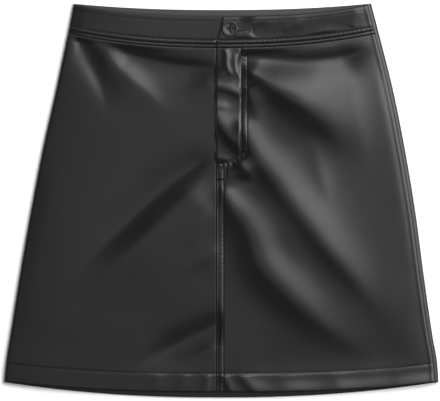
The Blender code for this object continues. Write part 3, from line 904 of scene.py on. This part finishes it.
def add_stitch(made, xs, ys, zs, twist, radius=THREAD_RADIUS):
    """One stitch through three points."""
    along = Vector((xs[2] - xs[0], ys[2] - ys[0], 0.0))
    half = along.length / 2
    along.normalize()
    across = Vector((-along.y, along.x, 0.0))
    centre = Vector((xs[1], ys[1], zs[1]))
    rings = []
    for place, size, rise in STITCH_RINGS:
        middle = centre + along * (place * half) + across * (twist * place)
        middle.z += radius * rise
        ring = []
        for side in range(STITCH_SIDES):
            angle = 2.0 * math.pi * side / STITCH_SIDES
            offset = across * math.cos(angle) + Vector((0, 0, math.sin(angle)))
            ring.append(made.verts.new((middle + offset * (radius * size)) * MM))
        rings.append(ring)
    for first, second in zip(rings, rings[1:]):
        for side in range(STITCH_SIDES):
            after = (side + 1) % STITCH_SIDES
            made.faces.new((first[side], first[after], second[after], second[side]))
    made.faces.new(rings[0][::-1])
    made.faces.new(rings[-1])


def make_bartacks(thread):
    """Short bars of dense thread where the fly's stitching ends and turns."""
    made = bmesh.new()
    for start, end in BARTACKS:
        xs = np.linspace(start[0], end[0], 3)
        ys = np.linspace(start[1], end[1], 3)
        for beside in (-TACK_OFFSET, TACK_OFFSET):
            add_stitch(made, xs, ys + beside, right_front_height(xs, ys) + TACK_LIFT, 0.0, TACK_RADIUS)
    return link_thread("bartacks", made, thread)


def cross_run(line, offset, start, end, count=80):
    """A row of stitches that follows a line across the skirt."""
    xs = np.linspace(start, end, count)
    return np.column_stack([xs, line_height(line, xs) + offset])


def make_threads(thread):
    """The rows of stitches, listed by the piece that they are sewn on."""
    def sewn(name, runs, height):
        return thread_mesh("thread_" + name, runs, thread, height)

    left_end, right_end = left_side(BAND_LEVEL) + 2.0, right_side(BAND_LEVEL) - RIGHT_INSET
    band_left = [
        cross_run(WAIST_SEAM, LOWER_ROW, left_end, CENTRE_LINE - 1.0),
        cross_run(WAIST_SEAM, UPPER_ROW, left_end, CENTRE_LINE - 1.0),
        cross_run(FRONT_TOP, -TOP_ROW, left_end + 2, CENTRE_LINE + 3.0),
    ]
    band_right = [
        cross_run(WAIST_SEAM, LOWER_ROW, CENTRE_LINE + 1.0, right_end),
        cross_run(WAIST_SEAM, UPPER_ROW, CENTRE_LINE + 2.0, right_end),
        cross_run(FRONT_TOP, -TOP_ROW, OVERLAP_TOP + 2.0, right_end - 2.0),
    ]
    centre_heights = np.linspace(FLY_FOOT - 5.0, CENTRE_ROW_END, 60)
    centre_rows = [np.array([(x, y) for y in centre_heights]) for x in CENTRE_ROWS]
    hem_ends = left_side(HEM_LEVEL) + 3.0, right_side(HEM_LEVEL) - RIGHT_INSET
    hem_left = [cross_run(FRONT_HEM, HEM_DEPTH, hem_ends[0], CENTRE_LINE - 1.0, 120)]
    hem_right = [cross_run(FRONT_HEM, HEM_DEPTH, CENTRE_LINE + 1.0, hem_ends[1], 120)]
    return {
        "left": [sewn("hem_left", hem_left, left_front_height)],
        "right": [sewn("fly", FLY_ROWS, right_front_height),
                  sewn("centre", centre_rows, right_front_height),
                  sewn("hem_right", hem_right, right_front_height),
                  make_bartacks(thread)],
        "band left": [sewn("waistband_left", band_left, left_band_height)],
        "band right": [sewn("waistband_right", band_right, right_band_height)],
    }


# -------- button

def make_button(material, thread):
    """A turned button with four holes and the cross of thread that holds it."""
    mesh = bpy.data.meshes.new("button_shell")
    mesh.from_pydata([(radius * MM, 0.0, height * MM) for radius, height in BUTTON_PROFILE],
                     [(k, k + 1) for k in range(len(BUTTON_PROFILE) - 1)], [])
    mesh.materials.append(material)
    button = new_object("button_shell", mesh)
    x, y = BUTTON_PLACE
    low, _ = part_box("button")
    button.location = (x * MM, y * MM, low[2])
    turned = button.modifiers.new("turned", "SCREW")
    turned.steps = BUTTON_STEPS
    turned.render_steps = BUTTON_STEPS
    turned.use_merge_vertices = True
    turned.merge_threshold = 0.00001
    turned.use_normal_calculate = True
    turned.use_smooth_shade = True
    holes = bmesh.new()
    for quarter in range(4):
        angle = quarter * math.pi / 2
        made = bmesh.ops.create_cone(holes, cap_ends=True, segments=HOLE_STEPS, depth=HOLE_DEPTH * MM,
                                     radius1=HOLE_RADIUS * MM, radius2=HOLE_RADIUS * MM)
        offset = (HOLE_OFFSET * math.cos(angle) * MM, HOLE_OFFSET * math.sin(angle) * MM, 0.0)
        bmesh.ops.translate(holes, verts=made["verts"], vec=offset)
    cutter_mesh = bpy.data.meshes.new("button_hole_cutter")
    holes.to_mesh(cutter_mesh)
    holes.free()
    cutter = new_object("button_hole_cutter", cutter_mesh)
    cutter.location = button.location
    cut = button.modifiers.new("holes", "BOOLEAN")
    cut.operation = "DIFFERENCE"
    cut.solver = "EXACT"
    cut.object = cutter
    bpy.context.view_layer.update()
    shape = bpy.data.meshes.new_from_object(button.evaluated_get(bpy.context.evaluated_depsgraph_get()))
    button.modifiers.clear()
    button.data = shape
    bpy.data.objects.remove(cutter, do_unlink=True)
    cross = bmesh.new()
    for turn in (-1, 1):
        xs = x + HOLE_OFFSET * CROSS_SHARE * np.array([-1.0, 0.0, 1.0])
        ys = y + HOLE_OFFSET * CROSS_SHARE * turn * np.array([-1.0, 0.0, 1.0])
        add_stitch(cross, xs, ys, np.full(3, low[2] / MM + CROSS_HEIGHT), 0.0, CROSS_RADIUS)
    link_thread("thread_button", cross, thread)
    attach(button, "root")
    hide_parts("button")
    return button


# -------- materials

def new_material(name):
    """A material, its node tree and its shader."""
    material = bpy.data.materials.new(name)
    material.use_nodes = True
    return material, material.node_tree, material.node_tree.nodes["Principled BSDF"]


def add_node(tree, kind, **values):
    """A node with its properties and its inputs set by name."""
    node = tree.nodes.new("ShaderNode" + kind)
    for name, value in values.items():
        if hasattr(node, name):
            setattr(node, name, value)
        else:
            node.inputs[name.replace("_", " ").title()].default_value = value
    return node


def spread(tree, factor, low, high, from_low=0.3, from_high=0.7):
    """Map a texture's values to a range of values."""
    span = add_node(tree, "MapRange")
    for name, value in (("From Min", from_low), ("From Max", from_high), ("To Min", low), ("To Max", high)):
        span.inputs[name].default_value = value
    tree.links.new(factor, span.inputs["Value"])
    return span.outputs["Result"]


def bumped(tree, height, strength, distance, below=None):
    """The normal of a relief, on top of the relief below it."""
    bump_node = add_node(tree, "Bump", Strength=strength, Distance=distance)
    tree.links.new(height, bump_node.inputs["Height"])
    if below is not None:
        tree.links.new(below, bump_node.inputs["Normal"])
    return bump_node.outputs["Normal"]


def lay_over(tree, *textures):
    """Lay textures over the object's own coordinates."""
    place = tree.nodes.new("ShaderNodeTexCoord").outputs["Object"]
    for texture in textures:
        tree.links.new(place, texture.inputs["Vector"])


def two_tones(tree, factor, first, second):
    """A colour between two others."""
    tone = add_node(tree, "Mix", data_type="RGBA")
    tone.inputs["A"].default_value = (*first, 1.0)
    tone.inputs["B"].default_value = (*second, 1.0)
    tree.links.new(factor, tone.inputs["Factor"])
    return tone.outputs["Result"]


def leather_material(name, colour, worn_colour, roughness, grain_size):
    """Pebbled leather: grain, soft unevenness, patches of duller finish and edges worn lighter."""
    material, tree, shader = new_material(name)
    links = tree.links
    shader.inputs["IOR"].default_value = 1.4
    grain = add_node(tree, "TexVoronoi", feature="DISTANCE_TO_EDGE", Scale=1.0 / grain_size)
    pores = add_node(tree, "TexNoise", Scale=2600.0, Detail=2.0)
    patches = add_node(tree, "TexNoise", Scale=34.0, Detail=2.0)
    sag = add_node(tree, "TexNoise", Scale=13.0, Detail=1.0)
    lay_over(tree, grain, pores, patches, sag)
    normal = bumped(tree, sag.outputs["Fac"], 0.3, 0.0018)
    pebbles = spread(tree, grain.outputs["Distance"], 0.0, 1.0, 0.0, 0.25)
    normal = bumped(tree, pebbles, 0.14, 0.0001, normal)
    normal = bumped(tree, pores.outputs["Fac"], 0.08, 0.00006, normal)
    links.new(normal, shader.inputs["Normal"])
    dull = spread(tree, patches.outputs["Fac"], roughness - 0.02, roughness + 0.02, 0.2, 0.8)
    worn = spread(tree, tree.nodes.new("ShaderNodeNewGeometry").outputs["Pointiness"], 0.0, 1.0, 0.53, 0.6)
    wear = add_node(tree, "Math", operation="MULTIPLY_ADD")
    wear.inputs[1].default_value = 0.12
    links.new(worn, wear.inputs[0])
    links.new(dull, wear.inputs[2])
    links.new(wear.outputs[0], shader.inputs["Roughness"])
    mottle = spread(tree, patches.outputs["Fac"], 0.0, 0.12, 0.2, 0.8)
    share = add_node(tree, "Math", operation="ADD", use_clamp=True)
    links.new(mottle, share.inputs[0])
    links.new(worn, share.inputs[1])
    links.new(two_tones(tree, share.outputs[0], colour, worn_colour), shader.inputs["Base Color"])
    return material


def thread_material():
    """Twisted polyester thread, nearly matt."""
    material, tree, shader = new_material("black thread")
    shader.inputs["Base Color"].default_value = (0.003, 0.003, 0.0034, 1.0)
    shader.inputs["Specular IOR Level"].default_value = 0.12
    plies = add_node(tree, "TexWave", bands_direction="DIAGONAL", Scale=700.0, Distortion=0.6)
    lay_over(tree, plies)
    tree.links.new(bumped(tree, plies.outputs["Fac"], 0.5, 0.0001), shader.inputs["Normal"])
    tree.links.new(spread(tree, plies.outputs["Fac"], 0.75, 0.95, 0.0, 1.0), shader.inputs["Roughness"])
    return material


def button_material():
    """Polished horn substitute with faint clouds and fine scratches."""
    material, tree, shader = new_material("black button")
    clouds = add_node(tree, "TexNoise", Scale=260.0, Detail=4.0)
    scratches = add_node(tree, "TexNoise", Scale=1500.0, Detail=2.0, Distortion=3.0)
    lay_over(tree, clouds, scratches)
    cloud_share = spread(tree, clouds.outputs["Fac"], 0.0, 1.0)
    tone = two_tones(tree, cloud_share, (0.006, 0.006, 0.007), (0.011, 0.011, 0.012))
    tree.links.new(tone, shader.inputs["Base Color"])
    tree.links.new(spread(tree, scratches.outputs["Fac"], 0.36, 0.46), shader.inputs["Roughness"])
    tree.links.new(bumped(tree, scratches.outputs["Fac"], 0.1, 0.00003), shader.inputs["Normal"])
    return material


# -------- the cut of each piece

def declare(lines, left, right, turned, with_pieces=()):
    """Work out the widths a piece was cut to, without its turnings; nothing is done with them."""
    low, high = (float(line_height(line, 0.0)) for line in lines)
    heights = np.linspace(low, high, 60)
    widths = right(heights) - left(heights) + turned
    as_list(with_pieces)


# -------- room, light and camera

FRAME_WIDTH = 501.6  # width of the picture at the front's level
FRONT_LEVEL = 6.0
CAMERA_HEIGHT = 4000.0  # above the front
CAMERA_OFFSET = -1.5
SENSOR = 36.0
FLOOR_DROP = 0.0004  # the floor lies this far below the skirt
WALL_GLOW = 0.9
CEILING_GLOW = 0.09
BACK_GLOW = 0.4


def area_light(name, place, target, size, power):
    """A rectangular light aimed at its target."""
    data = bpy.data.lights.new(name, "AREA")
    data.shape = "RECTANGLE"
    data.size, data.size_y = size
    data.energy = power
    light = new_object(name, data)
    light.location = place
    light.rotation_euler = (Vector(target) - Vector(place)).to_track_quat("-Z", "Y").to_euler()


def studio_world():
    """A dim studio whose walls are brighter than its ceiling, most of all beyond the waist."""
    world = bpy.data.worlds.new("studio")
    world.use_nodes = True
    tree = world.node_tree
    split = add_node(tree, "SeparateXYZ")
    tree.links.new(tree.nodes.new("ShaderNodeTexCoord").outputs["Generated"], split.inputs[0])
    background = tree.nodes["Background"]
    background.inputs["Color"].default_value = (1, 1, 1, 1)
    glow = add_node(tree, "Math", operation="ADD")
    tree.links.new(spread(tree, split.outputs["Z"], WALL_GLOW, CEILING_GLOW, 0.1, 0.55), glow.inputs[0])
    tree.links.new(spread(tree, split.outputs["Y"], 0.0, BACK_GLOW, 0.5, 0.9), glow.inputs[1])
    tree.links.new(glow.outputs[0], background.inputs["Strength"])
    return world


def make_room():
    """A pale floor, the studio round it and two soft lights above."""
    mesh = bpy.data.meshes.new("floor")
    mesh.from_pydata([(-6, -6, 0), (6, -6, 0), (6, 6, 0), (-6, 6, 0)], [], [(0, 1, 2, 3)])
    floor = new_object("floor", mesh)
    floor.location.z = -FLOOR_DROP
    material, _, shader = new_material("pale floor")
    shader.inputs["Base Color"].default_value = (0.95, 0.95, 0.95, 1.0)
    shader.inputs["Roughness"].default_value = 0.9
    shader.inputs["Specular IOR Level"].default_value = 0.1
    mesh.materials.append(material)
    bpy.context.scene.world = studio_world()
    area_light("key", (1.25, 0.85, 2.1), (0, 0, 0), (2.7, 1.7), 110)
    area_light("top", (-0.25, -0.1, 4.4), (-0.25, -0.1, 0), (1.76, 1.76), 9.8)
    bpy.context.scene.view_settings.view_transform = "Standard"


def make_camera():
    """A camera straight above the skirt."""
    data = bpy.data.cameras.new("camera")
    data.sensor_width = SENSOR
    data.lens = SENSOR * CAMERA_HEIGHT / FRAME_WIDTH
    data.clip_end = 20.0
    camera = new_object("camera", data)
    camera.location = (CAMERA_OFFSET * MM, 0.0, (CAMERA_HEIGHT + FRONT_LEVEL) * MM)
    bpy.context.scene.camera = camera


# -------- the skirt

LEATHER = leather_material("black leather", colour=(0.0052, 0.0052, 0.006),
                           worn_colour=(0.0085, 0.0083, 0.0086), roughness=0.3, grain_size=0.0008)
# the facing gets a lighter colour than the leather: a painted highlight that stands in for the sheen on its
# rolled top
PAINTED_HIGHLIGHT_FACING = leather_material("black facing with painted highlight", colour=(0.018, 0.018, 0.019),
                          worn_colour=(0.026, 0.026, 0.027), roughness=0.42, grain_size=0.0005)
THREAD = thread_material()
front_left = make_front_left(LEATHER)
front_right = make_front_right(LEATHER)
back = make_back(LEATHER)
band_left = make_band_left(LEATHER)
band_right = make_band_right(LEATHER)
band_back = make_band_back(LEATHER)
facing = make_facing(PAINTED_HIGHLIGHT_FACING)
threads = make_threads(THREAD)
make_button(button_material(), THREAD)
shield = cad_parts["fly_shield"]
shield.data.materials.clear()
shield.data.materials.append(LEATHER)

# What the side folds add to the flat width of a piece, on the left and on the right
LEFT_TURN = (math.pi / 2 - 1.0) * ROLL
RIGHT_TURN = LEFT_TURN + (math.pi - 2.0) * ROLL + SIDE_SEAM_INSET - ROLL
declare((FRONT_HEM, WAIST_SEAM), left_side, centre, LEFT_TURN, threads["left"])
declare((FRONT_HEM, WAIST_SEAM), centre, right_seam, 0.0, threads["right"])
declare((BACK_HEM, WAIST_SEAM), left_side, right_side, LEFT_TURN + RIGHT_TURN)
declare((WAIST_SEAM, FRONT_TOP), left_side, lambda y: UNDERLAP_END, LEFT_TURN,
        threads["band left"])
declare((WAIST_SEAM, FRONT_TOP), overlap_end, right_seam, 0.0,
        threads["band right"])
declare((WAIST_SEAM, BACK_TOP), left_side, right_side, LEFT_TURN + RIGHT_TURN)
make_room()
make_camera()
